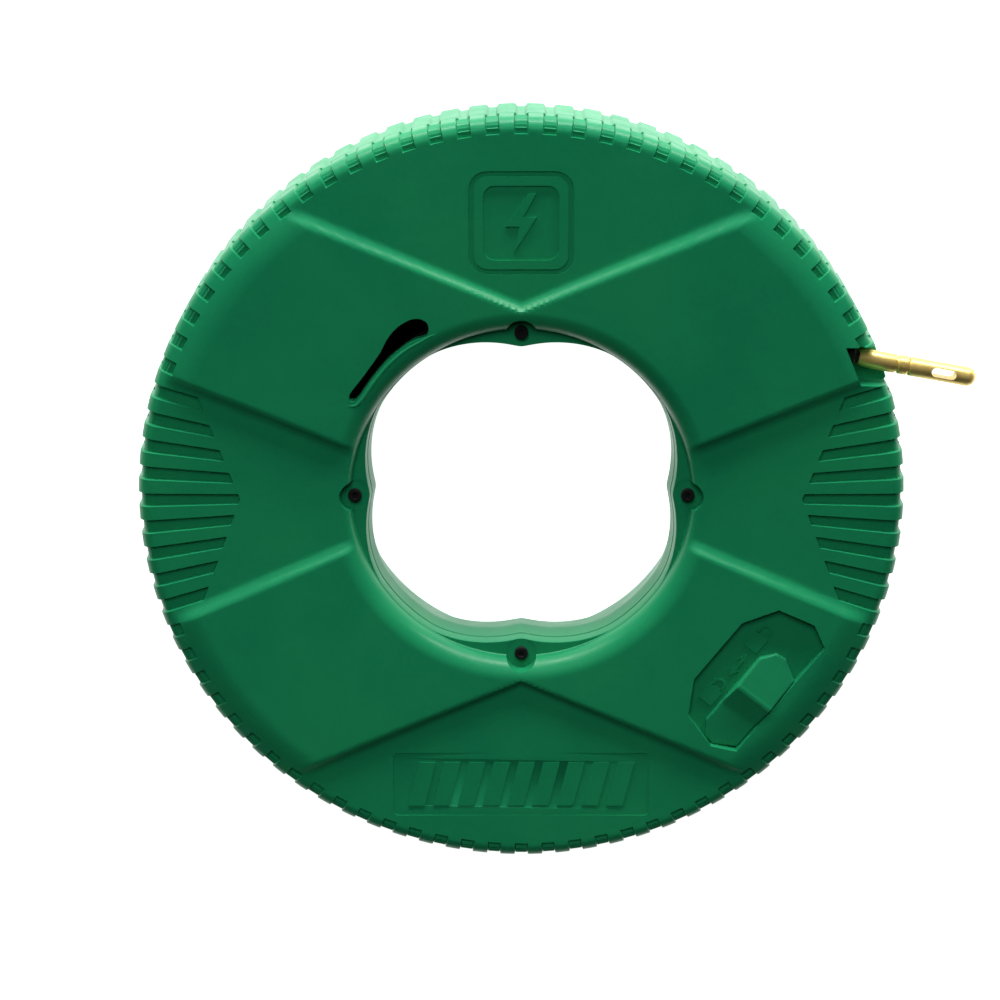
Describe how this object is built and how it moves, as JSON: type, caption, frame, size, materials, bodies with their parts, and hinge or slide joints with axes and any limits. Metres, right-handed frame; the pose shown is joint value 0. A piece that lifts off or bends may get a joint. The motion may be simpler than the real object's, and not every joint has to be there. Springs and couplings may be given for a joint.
{
  "type": "fish tape reel",
  "caption": "Ring-shaped fish tape reel: two-shell case with ribbed rim, X relief and lock knob around a turning canister, with a round-nosed eyelet tip at the end of its tape.",
  "frame": {"origin": "centre of the hand hole in the plane that the raised arms of the rear face rest on", "axes": "+Z is the reel's axis and points out of the front face; +X is the side that the tape leaves from; +Y is up when the reel is held upright"},
  "size_m": [0.4142, 0.38, 0.0642],
  "materials": {
    "case_green": "green impact-resistant moulded plastic, fine satin texture",
    "knob_green": "green moulded plastic, slightly smoother than the case",
    "inner_black": "black glass-filled nylon, satin",
    "glide_white": "natural acetal, satin",
    "tape_black": "black glass-fibre rod with a smooth nylon jacket",
    "screw_black": "black-oxide steel",
    "screw_steel": "zinc-plated steel",
    "clamp_steel": "bright steel",
    "tip_brass": "polished brass",
    "pad_rubber": "black nitrile rubber",
    "spring_steel": "spring steel wire"
  },
  "bodies": {
    "case": {"front_shell": "case_green", "rear_shell": "case_green", "case_screws": "screw_black", "glide_pads": "glide_white", "exit_guide": "inner_black", "brake_cage": "inner_black", "cage_screws": "screw_steel", "brake_springs": "spring_steel"},
    "canister": {"canister": "inner_black", "canister_ring": "inner_black", "canister_screws": "screw_steel", "glide_ring_rear": "glide_white", "glide_ring_front": "glide_white", "tape_coil": "tape_black", "tape_riser": "tape_black", "tape_clamp": "clamp_steel", "clamp_screw": "screw_steel"},
    "tape": {"tape_lead": "tape_black", "leader_ferrule": "tip_brass", "eyelet_tip": "tip_brass"},
    "lock": {"lock_knob": "knob_green", "lock_carriage": "inner_black", "lock_screw": "screw_steel"},
    "brake": {"brake_shoe": "inner_black", "brake_pad": "pad_rubber"}
  },
  "joints": [
    {"name": "canister_spin", "type": "hinge", "parent": "case", "child": "canister", "pos_m": [0, 0, 0], "axis": [0, 0, -1], "range_deg": [0, 34]},
    {"name": "tape_feed", "type": "slide", "parent": "case", "child": "tape", "axis": [0.9833, -0.1822, 0], "range_m": [0, 0.06]},
    {"name": "lock_slide", "type": "slide", "parent": "case", "child": "lock", "axis": [0.6225, 0.7826, 0], "range_m": [0, 0.022]},
    {"name": "brake_lift", "type": "slide", "parent": "case", "child": "brake", "axis": [0, 0, 1], "range_m": [0, 0.0025], "deforming": ["brake_springs"]}
  ],
  "couplings": [
    {"joint": "tape_feed", "follows": "canister_spin", "m_per_rad": 0.0993},
    {"joint": "brake_lift", "follows": "lock_slide", "ratio": 0.1136}
  ]
}
